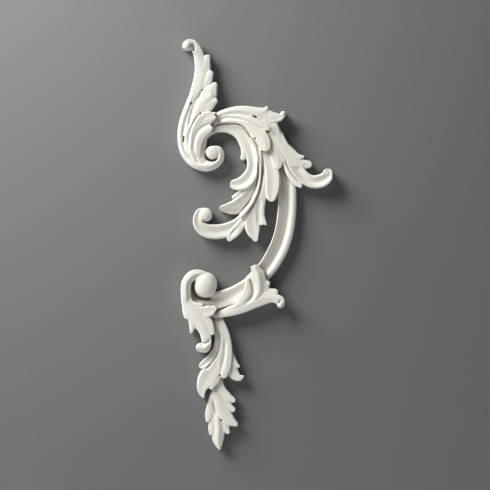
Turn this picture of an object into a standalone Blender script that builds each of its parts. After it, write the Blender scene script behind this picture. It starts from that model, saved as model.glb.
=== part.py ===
# Acanthus scroll in relief: one casting with a flat back, made to be fixed to a wall.
# Metres, +Z up. The carved face looks along -Y and the flat back lies on Y = 0.
# The origin is on the back, behind the stem of the great swirl leaf.

import math

import bpy
import bmesh
import numpy as np
from mathutils import Matrix

# Driving sizes
HEIGHT = 0.82            # lowest leaf tip to the top of the plume
RELIEF = 0.036           # depth of the grid off the wall; the highest lobe fills nine tenths of it
FINEST_DETAIL = 0.0012   # grain of the fused surface
TRIANGLES = 9000         # what the finished solid is thinned to

# The carving is laid out on a grid of modules, as shares of its own height.
# Across is counted from the upright through the origin, up from the lowest leaf tip.
MODULES_HIGH = 408
MODULE = HEIGHT / MODULES_HIGH
MODULES_DEEP = 18
DEPTH_MODULE = RELIEF / MODULES_DEEP
ORIGIN_UP = 270          # the origin's height in modules
BELOW_WALL = 3           # how far each lobe is carried behind the wall before the back is cut

# What a gouge leaves across a lobe: the surface's height at five stations from the left
# edge to the right one, seen from the root, in shares of the lobe's half width.
STATIONS = (-1, -0.82, 0, 0.82, 1)
PROFILES = {
    "round": (-0.42, -0.12, 0.16, -0.12, -0.42),
    "flat": (-0.26, -0.02, 0.05, -0.02, -0.26),
    "soft": (-0.24, -0.01, -0.06, -0.01, -0.24),
    "dish": (-0.16, 0.02, -0.18, 0.02, -0.16),
    "crest_left": (-0.12, 0.16, -0.12, -0.04, -0.20),
    "rim_right": (-0.70, -0.45, -0.16, 0.03, -0.14),
    "falls_right": (-0.10, 0.00, -0.25, -0.70, -0.95),
    "soft_left": (-0.24, 0.04, -0.04, -0.06, -0.24),
    "midrib": (-0.20, -0.04, 0.18, -0.04, -0.20),
}
# The wide band is a cavetto with a bead along its outer edge.
BAND_STATIONS = (-1, -0.93, -0.7, -0.48, -0.36, -0.1, 0.3, 0.7, 0.92, 1)
BAND_PROFILE = (-0.24, -0.08, -0.01, -0.02, -0.16, -0.32, -0.25, -0.1, -0.01, -0.12)

# Each lobe: profile, heights off the wall spread evenly from its root to its tip, and its way
# from root to tip as (across, up, half width), all in modules.
PLUME = {
    "outer_strip": ("round", (13, 9.8, 9.6, 9.8, 10.4), [
        (-46, 281.4, 3.4), (-54, 284.4, 3.8), (-60.4, 289.4, 3.8), (-65.8, 296.6, 3.4),
        (-68.6, 306, 3.2), (-68.9, 318, 3.2), (-66.4, 330, 3.4), (-62.2, 341, 3.6),
        (-58.4, 351, 3.4)]),
    "stem": ("flat", (10, 10.4, 11, 12, 14.6), [
        (-62, 338, 2.6), (-58.6, 347, 3.8), (-54.6, 357, 5), (-50.6, 368, 6), (-48.6, 378, 6.4),
        (-49.6, 387, 5.6), (-51, 394, 5.2), (-53.2, 399.6, 5.2), (-57, 403.6, 5.2),
        (-60.4, 404.6, 4.8)]),
    "middle_strip": ("round", (9.6, 9.4, 9.8), [
        (-56, 288, 2.4), (-60.6, 293.6, 2.4), (-63.4, 302, 2.4), (-63.8, 312, 2.6),
        (-62, 323, 3), (-58.4, 334, 3.4), (-54.4, 344, 3.6), (-50.6, 353, 3)]),
    "first_lobe": ("flat", (10, 11.8), [
        (-52, 352, 3), (-48.8, 364, 5.4), (-46.2, 376, 6.6), (-44.4, 385, 5.4),
        (-42.8, 390.6, 3.4)]),
    "first_corner": ("flat", (10.6, 11.8), [(-45, 384, 4), (-42.2, 390, 2.4), (-40.9, 392.8, 1.2)]),
    "plume_sheet": ("flat", (10.2, 11.6), [
        (-54, 350, 4), (-50, 362, 6.4), (-47.4, 374, 7.6), (-46.6, 384, 6.4)]),
    "second_lobe": ("flat", (10.2, 12), [
        (-50, 357, 1.6), (-45.4, 363, 3.4), (-41.6, 370, 4), (-39.2, 375.6, 2.8)]),
    "broad_leaf": ("flat", (12.4, 10.2, 11, 12.8), [
        (-50, 286, 2), (-55, 290.6, 2), (-58.6, 297, 2), (-60.6, 305, 2.2), (-60.4, 314, 2.6),
        (-58.6, 323, 3.6), (-54.6, 332.6, 5.4), (-49.4, 341.6, 7.2), (-43.2, 350, 8.4),
        (-38.8, 357.4, 6.8), (-35.4, 363.8, 3)]),
    "fourth_lobe": ("flat", (10.8, 12.6), [
        (-52, 336, 5), (-45.8, 342, 7.2), (-40, 345.6, 6), (-35, 348.4, 2.6)]),
    "leaf_sheet": ("flat", (10.8, 12.7), [
        (-55, 334, 4), (-48.6, 343, 8), (-42.4, 350, 8), (-40, 352.4, 6.6)]),
    "inner_slope": ("falls_right", (9, 10, 13.4), [
        (-46, 288, 3.6), (-48.6, 296, 5), (-49.4, 304, 5.6), (-47.8, 311, 5.2),
        (-44.4, 316, 4.2), (-40.4, 318.6, 3)]),
    "cap_lobe": ("soft_left", (10.6, 12.6, 15.6), [
        (-49, 287.6, 2.4), (-54.6, 293.6, 2.8), (-57.4, 301, 3.2), (-57.2, 310, 4),
        (-54, 318.4, 5.4), (-49, 325, 6.8), (-44, 329.6, 7.2), (-41, 331.4, 6.2)]),
    "cap_corner": ("flat", (13.6, 15.6), [(-46, 330, 5), (-39, 333.6, 3.2), (-35.4, 335.4, 1.4)]),
    "cap_right_corner": ("flat", (13.6, 15.6), [
        (-45, 329, 5), (-39, 331, 3.6), (-35.8, 331.2, 2.2)]),
    "cap_sheet": ("flat", (10.6, 11.6, 13.6, 15), [
        (-51, 289, 3), (-55, 297, 4.6), (-55, 307, 5.8), (-50.6, 316, 7.6), (-45, 323, 7.4)]),
    "cap_lower_lobe": ("flat", (10.2, 11.4, 14.6), [
        (-49, 289, 2.6), (-53, 296, 3.4), (-54, 304, 4), (-51.6, 311.4, 4.6),
        (-46.6, 316.8, 4.6), (-40.4, 320.4, 3.4)]),
    "volute": ("round", (10, 11, 11.4, 11.6), [
        (-60, 287.6, 2), (-55, 285.4, 3.6), (-49, 284, 4.8), (-42, 283.4, 5.4),
        (-35.2, 285.8, 4.9), (-30.8, 290, 4.4), (-29.8, 295, 4.2), (-31.8, 298.6, 4.6),
        (-35.4, 298.8, 5)]),
    "base": ("flat", (5, 5), [(-50, 300, 4), (-44, 291, 5), (-36, 291, 5), (-33, 297, 4)]),
}
ARCH = {
    "top_strip": ("flat", (9, 12.4, 13.6, 14.6), [
        (-40, 329.4, 2.4), (-34, 332.6, 3), (-27, 335.6, 3.6), (-17, 338, 4.2),
        (-8, 338.4, 4.8), (2, 337.4, 5), (9, 336.6, 4.8), (14, 338, 3.6), (16.6, 340.8, 1.8)]),
    "arch_sheet": ("flat", (12.6, 14.4), [
        (-6, 333.6, 4.4), (6, 333.6, 6.6), (15, 334, 6.8), (21, 332.6, 5)]),
    "hook_lobe": ("soft", (9, 12.4, 13.6, 15), [
        (-40, 327, 2.4), (-33, 330.6, 3), (-22, 333.4, 3.6), (-10, 332.8, 4.2), (0, 330.6, 5),
        (10, 330.4, 6), (18, 331.6, 6.2), (24, 331.4, 5.2), (29, 331.4, 3.8),
        (31.8, 333, 2.6)]),
    "third_lobe": ("flat", (11.6, 14, 15.2), [
        (-26, 331.6, 2), (-14, 331.6, 2.6), (-3, 328.6, 3.6), (7, 324.8, 4.2), (13.6, 321.6, 3.4),
        (17.6, 320.4, 2)]),
    "great_lobe": ("flat", (9, 12.2, 14, 16), [
        (-41, 323.4, 2.4), (-34, 327.2, 3), (-24, 329, 3.8), (-13, 327.8, 4.8), (-3.4, 323.8, 5.8),
        (5.2, 318.2, 6.8), (11.4, 312, 7.4), (14.4, 306.4, 6.8), (15.2, 303.4, 5.8)]),
    "core": ("flat", (9, 9), [
        (-44, 322, 5), (-30, 330, 7), (-14, 332, 8), (2, 328, 9), (12, 318, 9), (15, 306, 6),
        (14, 296, 4)]),
    "under_lobe": ("flat", (12, 13.4), [
        (-30, 327.2, 1.8), (-18, 327.8, 2.4), (-8.6, 325.4, 3.2), (-1.4, 320.2, 3.6),
        (2.2, 314.8, 2.6), (3.2, 312.2, 1.4)]),
}
SWIRL = {
    "body": ("crest_left", (8.6, 9.6, 11.6, 11.4), [
        (-46, 312, 2.6), (-38, 318.5, 3.4), (-30, 321.2, 4), (-21, 320.7, 4.6), (-13, 317.4, 5.4),
        (-6, 311, 6.2), (-0.6, 303, 6.6), (2.4, 293.6, 6.4), (3.2, 284, 6), (1, 275.4, 6.6),
        (-4, 268.6, 7.2), (-10, 265.4, 6.6), (-14.6, 265, 5.4)]),
    "core": ("flat", (9.4, 9.2, 8), [
        (-14, 318, 3), (-2, 314, 5), (7, 303, 8), (13, 291, 9), (14, 278, 9), (10, 262, 9),
        (5, 247, 8), (-4, 234, 6), (-14, 226, 4)]),
    "edge_lobe": ("flat", (9.2, 10.8), [
        (-16, 317.6, 2.4), (-11.6, 313, 3), (-7.6, 307.6, 4), (-5, 301.6, 4.4), (-4.8, 296, 4.2),
        (-6.8, 292, 2.8)]),
    "lobe_3": ("flat", (9.6, 10.4), [
        (1, 266, 4.4), (-5, 259, 4.4), (-11, 255, 3.4), (-16, 252.4, 2.2)]),
    "lobe_4": ("rim_right", (10.2, 11), [
        (4, 268, 4), (1, 258, 5.4), (-4.6, 250, 7), (-12.4, 243.6, 7.6), (-20, 241.6, 6),
        (-27, 241.4, 3.4)]),
    "slim_finger": ("round", (11.2, 12.2), [
        (6.5, 312, 1.1), (9.5, 303, 1.4), (10.4, 294, 1.7), (10.5, 285, 1.8), (10.3, 275, 1.9),
        (9.2, 265, 2), (6.6, 255.5, 2.2), (2.6, 247, 2.6), (-2.4, 240, 3), (-7, 234.8, 3.2)]),
    "lobe_8": ("soft", (10, 11.4, 13), [
        (14, 302, 3.8), (19, 290, 6), (21.6, 280, 7.2), (22.6, 270, 7.8), (22.2, 260, 7.2),
        (21.4, 253, 5)]),
    "lobe_7": ("flat", (11, 11.8), [
        (16, 275, 3.6), (13, 259, 4.4), (10.6, 246, 4.6), (9.8, 236, 4.8), (10.8, 229, 4.6)]),
    "lobe_7Tip": ("flat", (11, 12), [(10.4, 237, 3.6), (12.8, 230, 2.8), (15.4, 225.8, 1.3)]),
    "blade_sheet": ("flat", (11.2, 11.6), [
        (12, 264, 4), (9.4, 250, 5.4), (7.6, 238, 6.4), (7, 229, 5)]),
    "lobe_6": ("soft", (11, 12.2), [
        (14.6, 280, 3), (10.6, 264, 4.4), (6.4, 250, 5.8), (3.4, 238, 6.8), (1.6, 228, 7),
        (2, 219, 6.4), (4.8, 211.4, 3)]),
    "lobe_5": ("soft", (10.6, 11.6), [
        (-3, 233, 3.6), (-9.4, 224.6, 4.6), (-15, 217.4, 4.8), (-20.2, 211.4, 3)]),
    "curl": ("dish", (11, 11, 12.4), [
        (6, 250, 3.6), (-1, 237, 4.6), (-8, 229, 5.8), (-16, 223, 6.6), (-26, 219, 7.2),
        (-36, 218, 7.4), (-44.6, 219.6, 6.8), (-50.6, 224.8, 5.6), (-52, 231.4, 4.6),
        (-49.4, 236.6, 4.6), (-45.6, 237.4, 4.6)]),
}
RIGHT_LEAF = {
    "short_lobe": ("flat", (12.4, 12.8, 13.8), [
        (22, 322, 4), (24.4, 311, 6.2), (26.8, 301, 7.4), (27.4, 291, 6.8), (27.8, 284.8, 4.4)]),
    "tail": ("soft", (12, 12, 12.2, 14), [
        (23.6, 325, 3.2), (28.4, 312, 5.4), (34, 299.4, 7), (42, 288.2, 8.8), (48, 278.4, 7),
        (54.6, 271.4, 6.2), (62, 267.8, 6.4), (70, 268.4, 6.8), (76, 272, 6.2),
        (77.2, 276, 5)]),
    "upper_tip": ("flat", (12, 13), [
        (27.4, 315, 3.4), (33, 305.6, 4.4), (39.2, 297.6, 5), (46, 292.4, 3.8),
        (51.8, 291.8, 2.1)]),
    "lower_tip": ("flat", (10.6, 12.8), [
        (36, 299, 5), (44, 290.6, 6.4), (51.4, 286, 5), (57.6, 285, 3.8)]),
    "narrow_lobe": ("flat", (10.6, 12.6, 13.8), [
        (32.4, 294, 1.8), (35.6, 282.6, 2.8), (40, 274, 3.2), (45.6, 267.4, 3.2),
        (49.6, 264, 2.2)]),
    "leaf_sheet": ("flat", (12, 12.6), [
        (22.6, 322, 4), (26.4, 311, 6.4), (32, 299.6, 7.6), (40.2, 290.4, 8), (48, 283, 6)]),
}
BAND = {
    "scroll_band": ("band", (7, 8.8, 9, 8.6), [
        (32, 290, 6.4), (35.4, 276, 8), (37, 260, 9), (37, 242, 9.3), (35.6, 227, 9.5),
        (33.2, 215, 9.6), (29.6, 204, 9.7), (24.6, 194, 9.6), (18.4, 184, 9.2), (10.6, 175, 8.8),
        (2, 167.4, 8.2)]),
    "lower_band": ("dish", (11, 8.6, 7.4), [
        (10, 174, 7), (1, 166.4, 7.6), (-9, 159.4, 8), (-19, 154, 8.6), (-30, 150.2, 9),
        (-42, 148, 9), (-52, 148, 8)]),
}
LOWER_LEAF = {
    "fold": ("flat", (10.8, 12.8, 13.6), [
        (-34, 136.4, 1.6), (-23, 139.6, 3), (-13, 144.4, 4.4), (-5.4, 151, 5), (-2, 158.4, 4.6),
        (-1.8, 165, 3.4), (-2.4, 169.4, 1.8)]),
    "sheet": ("flat", (12.4, 13.4), [
        (-12, 142.6, 3), (-1, 147.2, 6.2), (7.6, 153, 8.4), (12, 160.4, 8), (12, 168, 5.6)]),
    "top_lobe": ("midrib", (12.6, 14.8), [
        (3, 148, 4), (8.4, 157, 6.4), (9.2, 166, 7), (8, 175, 7.4), (6, 180.4, 5)]),
    "top_tip": ("flat", (13, 14.8), [(7, 172, 3.6), (4.2, 179, 3), (1.6, 182.9, 1.1)]),
    "side_lobe": ("flat", (12.4, 13.4), [(8, 158, 4), (13.6, 164, 4.4), (17, 166.6, 3)]),
    "lower_side_lobe": ("flat", (12.4, 13.6), [(12, 152, 4), (18.4, 156.8, 4.6), (24.2, 158, 3.6)]),
    "curl": ("flat", (11.6, 12.8, 15), [
        (-38, 134, 1.6), (-24, 136.4, 3), (-10, 141.4, 5), (2, 147.4, 6.4), (12, 151.6, 6.8),
        (19.6, 152.8, 5.4), (25.4, 151.8, 4.6), (29.8, 149.6, 4.8), (30.8, 146.8, 3.8)]),
}
LOWER_VOLUTE = {
    "band": ("round", (13.8, 14.4, 14.4, 14, 12.4), [
        (-62.6, 134, 2.6), (-62.8, 143, 4.2), (-63.4, 152, 5), (-64, 160.4, 4.9),
        (-62.6, 168.4, 5), (-57.2, 174.6, 5), (-50.6, 176.2, 4.2), (-44.6, 174.8, 3.6)]),
    "recess": ("flat", (7, 7), [
        (-58, 164, 5), (-59, 155, 6), (-52, 149, 7), (-42, 146, 7), (-33, 147, 5)]),
    "slit": ("flat", (4, 4), [(-44, 140, 4), (-30, 140, 4), (-18, 144, 5), (-8, 152, 5)]),
}
WRAP_LEAF = {
    "body": ("flat", (12.2, 14, 15.2), [
        (-60, 172, 3), (-63, 165, 3.6), (-64, 157, 4.4), (-62, 147.6, 6.8), (-56.4, 137.6, 8.8),
        (-50.6, 129.4, 7.8), (-45.8, 120.8, 5.6), (-43.4, 113, 5.2), (-43.2, 107, 4.8)]),
    "first_tip": ("flat", (12.2, 14), [(-64, 148, 3.4), (-63.6, 140, 3.6), (-63, 134.2, 2.8)]),
    "second_tip": ("flat", (13.8, 14.4), [
        (-58, 140, 5), (-57.2, 130, 4), (-57.4, 123.6, 3), (-58.2, 118.8, 1.6)]),
    "upper_right_lobe": ("soft", (14, 15), [
        (-56, 138, 5), (-46.4, 138, 6), (-39.4, 139.6, 5.4), (-35.8, 141.8, 3)]),
    "small_tip": ("flat", (13.6, 14.2), [(-60, 147, 3), (-54, 145, 3.4), (-48.6, 145.2, 2.2)]),
    "lower_right_lobe": ("flat", (14, 14.8), [
        (-49, 133, 6), (-42.4, 127.4, 5.8), (-39, 121.6, 4), (-37.6, 118.2, 2.6)]),
    "roll": ("round", (15, 15.4), [
        (-42, 106, 3.8), (-44.6, 102.6, 4.6), (-49.4, 103, 4.4)]),
}
PENDANT = {
    "left_finger": ("crest_left", (9, 10.6), [
        (-35.5, 132, 1.9), (-33, 119, 2.5), (-32.4, 109, 3), (-34, 99.6, 3.8),
        (-39, 91.6, 4.6), (-45.4, 86.4, 4), (-47.6, 85, 3.2)]),
    "core": ("flat", (6, 6), [
        (-36, 138, 5), (-30, 124, 5), (-27, 106, 7), (-28, 88, 8), (-32, 74, 6), (-32, 60, 5)]),
    "sheet": ("flat", (9.2, 11.2), [
        (-29, 128, 2.6), (-26, 114, 4.4), (-25.6, 100, 5.6), (-28, 88, 6)]),
    "main_lobe": ("soft", (9.6, 12.2), [
        (-33, 131, 1.9), (-28.6, 118, 2.6), (-27, 107, 3.2), (-28.2, 97, 4.4), (-32.4, 87.4, 6.4),
        (-38.4, 78.6, 8.8), (-43.6, 70, 8.6), (-48, 61.4, 4.2), (-47.2, 55.2, 1.7)]),
    "inner_tip": ("flat", (10, 11.6), [
        (-31, 90, 4), (-33.4, 80, 6), (-35.8, 71, 6), (-38, 64, 2.8)]),
    "right_strip": ("flat", (9, 12), [
        (-30, 132, 2.2), (-24.6, 118, 3.6), (-22.4, 106, 4.4), (-22.2, 95, 4.8), (-23.6, 84, 5),
        (-25.6, 76, 3.6)]),
    "upper_side_tip": ("flat", (8.4, 9.4), [
        (-22, 102, 3), (-18.4, 92, 3.8), (-14.6, 86.4, 2.8), (-11.6, 84, 1.4)]),
    "lower_side_tip": ("flat", (8.4, 9.8), [
        (-21, 95, 3), (-19, 85, 4.6), (-16, 76.6, 5.4), (-11.2, 72.8, 3.6), (-7.8, 73.6, 1.6)]),
}
END_LEAF = {
    "first_right": ("flat", (8, 9.4), [
        (-31.6, 72, 2.6), (-28.4, 61, 4.2), (-23, 53.6, 4.6), (-17.4, 50.6, 3)]),
    "second_right": ("flat", (8, 9.2), [
        (-31, 60, 3.6), (-26.4, 49, 4.6), (-20.6, 42.8, 4.2), (-17.6, 41, 2.8)]),
    "third_right": ("flat", (8.8, 9.8), [
        (-34.4, 62, 3.4), (-31.6, 49, 5.4), (-26.4, 38.4, 6.6), (-20.6, 30.6, 5.8),
        (-15, 26.8, 3)]),
    "fourth_right": ("flat", (7.6, 8.6), [(-29, 34, 3.4), (-25.4, 25.6, 4.4), (-22.8, 19.8, 3)]),
    "centre": ("midrib", (8, 8.6), [
        (-34, 54, 3.8), (-32.4, 36, 4.8), (-31.4, 22, 6.4), (-31.8, 11.6, 5.8), (-30.8, 4.6, 3),
        (-30.2, 2, 1.2)]),
    "lower_left": ("flat", (7.6, 8.4), [
        (-35, 40, 3.6), (-36.4, 29, 4.6), (-37.6, 21.4, 4), (-38.2, 18, 2.8)]),
    "upper_left": ("flat", (7.8, 8.6), [
        (-36.4, 58, 2.8), (-38.6, 46, 4), (-40.4, 37, 4.2), (-41.6, 31.2, 2.8)]),
}
LEAVES = {
    "plume": PLUME, "arch": ARCH, "swirl": SWIRL, "right_leaf": RIGHT_LEAF, "band": BAND,
    "lower_leaf": LOWER_LEAF, "lower_volute": LOWER_VOLUTE, "wrap_leaf": WRAP_LEAF,
    "pendant": PENDANT, "end_leaf": END_LEAF,
}
# Rolled ends and eyes: (across, up, radius across, radius up, height of the rim, rise of
# the dome above its rim)
DOMES = {
    "plume_curl": (-62.6, 403, 4.7, 4.7, 11.8, 4.2),
    "volute_eye": (-37.4, 296.8, 6.6, 6.6, 11.2, 1.7),
    "swirl_curl": (-44.4, 235, 6.9, 6.9, 10.6, 3),
    "tail_curl": (76.8, 276.6, 4, 4, 12, 3.4),
    "hook": (32.2, 335.6, 2.7, 2.9, 13.6, 2.8),
    "lower_volute_eye": (-44.4, 165.2, 11.3, 12.8, 10.2, 6),
    "lower_leaf_curl": (30.2, 145.8, 3.5, 3.5, 13.4, 2.6),
}

POINTS_ACROSS = 13       # points across a lobe's carved face
STEPS_PER_SPAN = 5       # points along a lobe between two of its chosen points
CAP_ROWS = 4             # rows that round a lobe's end
LEAST_CAP = 0.05         # half width of the last of those rows, as a share of the first
ROOT_SINK = 3            # how far a lobe's root dips under its neighbours
ROOT_SHARE = 0.2         # the share of the lobe's length that dips
DRAFT = 0.9              # a lobe's half width at its foot, as a share of its top
DOME_SEGMENTS = 32
DOME_RINGS = 16
SMOOTHING = 0.5          # how strongly each pass softens the fused surface
SMOOTHING_PASSES = 3
ON_PLANE = 1e-6          # closer to the cutting plane than this counts as on it
LEAST_EDGE = 0.06        # points of the back's outline nearer to each other are merged
CREASE_ANGLE = 40        # degrees between faces from which an edge is kept sharp


def profile(kind):
    """A lobe's carved face from its left edge to its right one, for a half width of one."""
    if kind == "band":
        return np.array(BAND_STATIONS), np.array(BAND_PROFILE)
    across = np.linspace(-1, 1, POINTS_ACROSS)
    return across, smooth_through(STATIONS, PROFILES[kind], across)


def smooth_through(stations, values, where):
    """Values between the stations, eased so that the surface has no corner at a station."""
    spans = np.clip(np.searchsorted(stations, where, side="right") - 1, 0, len(stations) - 2)
    start, end = np.take(stations, spans), np.take(stations, spans + 1)
    share = (where - start) / (end - start)
    eased = share * share * (3 - 2 * share)
    low, high = np.take(values, spans), np.take(values, spans + 1)
    return low + (high - low) * eased


def smooth_path(points):
    """A Catmull-Rom curve through the chosen points, with the half width along it."""
    chosen = np.array(points, dtype=float)
    first = 2 * chosen[0] - chosen[1]
    last = 2 * chosen[-1] - chosen[-2]
    knots = np.vstack([first, chosen, last])
    path = []
    for i in range(1, len(knots) - 2):
        before, start, end, after = knots[i - 1:i + 3]
        for step in range(STEPS_PER_SPAN):
            t = step / STEPS_PER_SPAN
            path.append(start + 0.5 * t * ((end - before)
                        + t * (2 * before - 5 * start + 4 * end - after)
                        + t * t * (3 * (start - end) + after - before)))
    path.append(chosen[-1])
    return np.array(path)


def round_off(path):
    """Adds rows past the last point that narrow to a round end."""
    heading = path[-1, :2] - path[-2, :2]
    heading /= np.linalg.norm(heading)
    half_width = path[-1, 2]
    rows = []
    for row in range(1, CAP_ROWS + 1):
        turn = math.pi / 2 * row / CAP_ROWS
        ahead = path[-1, :2] + heading * half_width * math.sin(turn)
        rows.append([*ahead, half_width * max(math.cos(turn), LEAST_CAP)])
    return np.vstack([path, rows])


def heights_along(heights, path):
    """Heights off the wall along the path: evenly spread, and sunk at the root."""
    steps = np.linalg.norm(np.diff(path[:, :2], axis=0), axis=1)
    share = np.concatenate([[0], np.cumsum(steps)]) / steps.sum()
    rise = np.interp(share, np.linspace(0, 1, len(heights)), heights)
    return rise - ROOT_SINK * np.clip(1 - share / ROOT_SHARE, 0, 1) ** 2


def lobe(kind, heights, points):
    """One lobe as a closed mesh: its profile swept from root to tip, with rounded ends."""
    path = round_off(smooth_path(points))
    path = round_off(path[::-1])[::-1]
    rise = heights_along(heights, path)
    heading = np.gradient(path[:, :2], axis=0)
    heading /= np.linalg.norm(heading, axis=1, keepdims=True)
    across, top = profile(kind)
    shape = bmesh.new()
    rings = []
    for (x, y, half_width), off_wall, (ahead, up) in zip(path, rise, heading):
        ring = [(x + up * half_width * share, y - ahead * half_width * share,
                 off_wall + half_width * height) for share, height in zip(across, top)]
        for share in (DRAFT, -DRAFT):
            ring.append((x + up * half_width * share, y - ahead * half_width * share,
                         -BELOW_WALL))
        rings.append([shape.verts.new(place) for place in ring])
    count = len(rings[0])
    for ring, following in zip(rings, rings[1:]):
        for i in range(count):
            j = (i + 1) % count
            shape.faces.new((ring[i], following[i], following[j], ring[j]))
    shape.faces.new(rings[0])
    shape.faces.new(reversed(rings[-1]))
    mesh = bpy.data.meshes.new("lobe")
    shape.to_mesh(mesh)
    shape.free()
    return mesh


def dome(across, up, radius_across, radius_up, rim, rise):
    """A rolled end or the eye of a volute: a low dome on a foot that goes back to the wall."""
    shape = bmesh.new()
    bmesh.ops.create_uvsphere(shape, u_segments=DOME_SEGMENTS, v_segments=DOME_RINGS, radius=1)
    for vertex in shape.verts:
        x, y, z = vertex.co
        on_foot = z < -ON_PLANE
        vertex.co = (across + x * radius_across, up + y * radius_up,
                     -BELOW_WALL if on_foot else rim + z * rise)
    mesh = bpy.data.meshes.new("dome")
    shape.to_mesh(mesh)
    shape.free()
    return mesh


def joined(meshes):
    """All the meshes as one object."""
    shape = bmesh.new()
    for mesh in meshes:
        shape.from_mesh(mesh)
    mesh = bpy.data.meshes.new("acanthus_scroll")
    shape.to_mesh(mesh)
    shape.free()
    carving = bpy.data.objects.new("acanthus_scroll", mesh)
    bpy.context.scene.collection.objects.link(carving)
    return carving


def with_modifier(carving, kind, **settings):
    """Sets one modifier on the carving and makes its result the carving's own mesh."""
    modifier = carving.modifiers.new(kind.lower(), kind)
    for setting, value in settings.items():
        setattr(modifier, setting, value)
    graph = bpy.context.evaluated_depsgraph_get()
    mesh = bpy.data.meshes.new_from_object(carving.evaluated_get(graph))
    carving.modifiers.clear()
    carving.data = mesh


def cut_back(carving, level):
    """Cuts the carving flat at a level off the wall and closes the cut."""
    shape = bmesh.new()
    shape.from_mesh(carving.data)
    everything = shape.verts[:] + shape.edges[:] + shape.faces[:]
    bmesh.ops.bisect_plane(shape, geom=everything, dist=ON_PLANE, plane_co=(0, 0, level),
                           plane_no=(0, 0, -1), clear_outer=True)
    outline = [vertex for vertex in shape.verts if vertex.is_boundary]
    bmesh.ops.remove_doubles(shape, verts=outline, dist=LEAST_EDGE)
    rim = [edge for edge in shape.edges if edge.is_boundary]
    bmesh.ops.triangle_fill(shape, edges=rim, use_beauty=True, normal=(0, 0, -1))
    bmesh.ops.triangulate(shape, faces=shape.faces[:])
    shape.to_mesh(carving.data)
    shape.free()


def stand_up(carving):
    """Turns the carving from the grid, face up, to its place on the wall in metres."""
    grid = Matrix.Translation((0, -ORIGIN_UP, 0))
    size = Matrix.Diagonal((MODULE, MODULE, DEPTH_MODULE, 1))
    upright = Matrix.Rotation(math.pi / 2, 4, "X")
    carving.data.transform(upright @ size @ grid)


def cast_material():
    material = bpy.data.materials.new("ivory_cast")
    material.use_nodes = True
    shader = material.node_tree.nodes["Principled BSDF"]
    shader.inputs["Base Color"].default_value = (0.76, 0.735, 0.68, 1)
    shader.inputs["Roughness"].default_value = 0.45
    shader.inputs["Metallic"].default_value = 0
    return material


def build():
    meshes = [lobe(*lobe_data) for leaf in LEAVES.values() for lobe_data in leaf.values()]
    meshes += [dome(*dome_data) for dome_data in DOMES.values()]
    carving = joined(meshes)
    with_modifier(carving, "REMESH", mode="VOXEL", voxel_size=FINEST_DETAIL / MODULE)
    with_modifier(carving, "SMOOTH", factor=SMOOTHING, iterations=SMOOTHING_PASSES)
    full = sum(len(face.vertices) - 2 for face in carving.data.polygons)
    with_modifier(carving, "DECIMATE", ratio=TRIANGLES / full)
    cut_back(carving, 0)
    stand_up(carving)
    carving.data.materials.append(cast_material())
    carving.data.shade_smooth()
    carving.data.set_sharp_from_angle(angle=math.radians(CREASE_ANGLE))


for old in list(bpy.data.objects):
    bpy.data.objects.remove(old)
build()
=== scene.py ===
import math

import bpy
import bmesh
import numpy as np
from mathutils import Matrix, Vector


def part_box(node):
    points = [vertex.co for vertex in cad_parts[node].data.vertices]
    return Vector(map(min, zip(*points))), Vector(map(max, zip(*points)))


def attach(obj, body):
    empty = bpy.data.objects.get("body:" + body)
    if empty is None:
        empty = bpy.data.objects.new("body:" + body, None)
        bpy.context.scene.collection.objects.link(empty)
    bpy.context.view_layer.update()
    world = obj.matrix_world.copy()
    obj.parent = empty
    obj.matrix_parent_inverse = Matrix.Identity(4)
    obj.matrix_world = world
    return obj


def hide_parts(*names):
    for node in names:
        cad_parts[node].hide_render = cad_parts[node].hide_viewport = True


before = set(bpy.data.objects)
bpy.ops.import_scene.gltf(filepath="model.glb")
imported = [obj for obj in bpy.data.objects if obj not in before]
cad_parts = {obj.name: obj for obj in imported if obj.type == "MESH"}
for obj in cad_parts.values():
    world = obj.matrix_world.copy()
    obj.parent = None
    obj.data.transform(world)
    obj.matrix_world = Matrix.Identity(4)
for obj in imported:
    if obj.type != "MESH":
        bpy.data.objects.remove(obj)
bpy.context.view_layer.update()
print("frame loaded")

# The carving is laid out on a grid, in modules. Across is counted from the upright through the
# origin, up from the lowest leaf tip, and height off the wall in deep modules.
grid = {
    "modulesHigh": 408,
    "modulesDeep": 18,
    "originUp": 270,
    "belowWall": 3,        # lobes are carried this far behind the wall, then cut flat
    "relief": 0.036,       # metres, for all the deep modules
}
low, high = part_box("acanthus_scroll")
module = (high.z - low.z) / grid["modulesHigh"]
deepModule = grid["relief"] / grid["modulesDeep"]

# How a gouge leaves a lobe: heights at five stations from its left edge to its right one,
# seen from the root, in shares of the half width
stations = (-1, -0.82, 0, 0.82, 1)
profiles = {
    "round": (-0.42, -0.12, 0.16, -0.12, -0.42),
    "flat": (-0.26, -0.02, 0.05, -0.02, -0.26),
    "soft": (-0.24, -0.01, -0.06, -0.01, -0.24),
    "dish": (-0.16, 0.02, -0.18, 0.02, -0.16),
    "crestLeft": (-0.12, 0.16, -0.12, -0.04, -0.20),
    "rimRight": (-0.70, -0.45, -0.16, 0.03, -0.14),
    "fallsRight": (-0.10, 0.00, -0.20, -0.62, -0.90),
    "rollRight": (-0.38, -0.06, 0.10, -0.28, -0.62),
    "softDish": (-0.16, 0.02, -0.15, -0.03, -0.22),
    "channel": (-0.18, -0.01, -0.19, 0.05, -0.16),
    "softLeft": (-0.24, 0.04, -0.04, -0.06, -0.24),
    "midrib": (-0.20, -0.04, 0.18, -0.04, -0.20),
}
bandStations = (-1, -0.93, -0.7, -0.48, -0.36, -0.1, 0.3, 0.7, 0.92, 1)
bandProfile = (-0.24, -0.08, -0.01, -0.02, -0.16, -0.32, -0.25, -0.1, -0.01, -0.12)

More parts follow.
